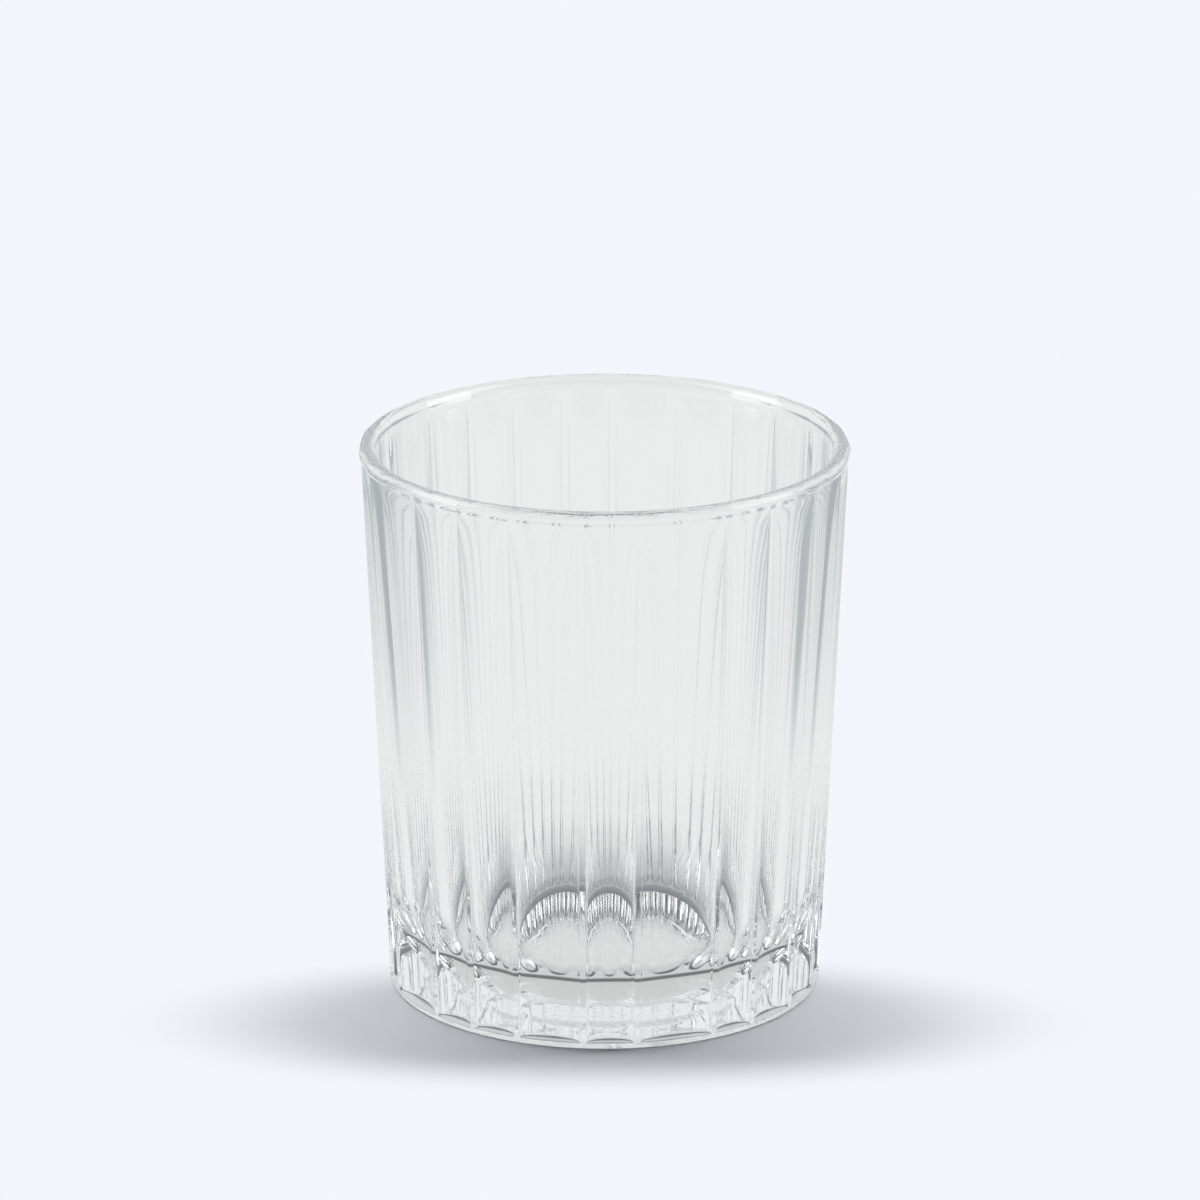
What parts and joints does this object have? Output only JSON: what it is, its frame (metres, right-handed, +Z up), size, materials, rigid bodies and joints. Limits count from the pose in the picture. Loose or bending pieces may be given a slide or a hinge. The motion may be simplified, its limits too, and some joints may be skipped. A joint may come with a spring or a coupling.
{
  "type": "juice glass",
  "caption": "Clear pressed glass tumbler for juice, with a smooth bowl, a thick base and upright hollow flutes of unequal widths around the outside, each two parted by a narrow rib.",
  "frame": {"origin": "centre of the foot, on the surface that the glass stands on", "axes": "+Z up through the middle of the mouth, -Y towards the side that the picture shows in front, +X to its right"},
  "size_m": [0.078, 0.078, 0.09],
  "materials": {
    "clear_glass": "clear soda-lime glass with a fire-polished surface"
  },
  "bodies": {
    "root": {"tumbler": "clear_glass"}
  },
  "joints": []
}
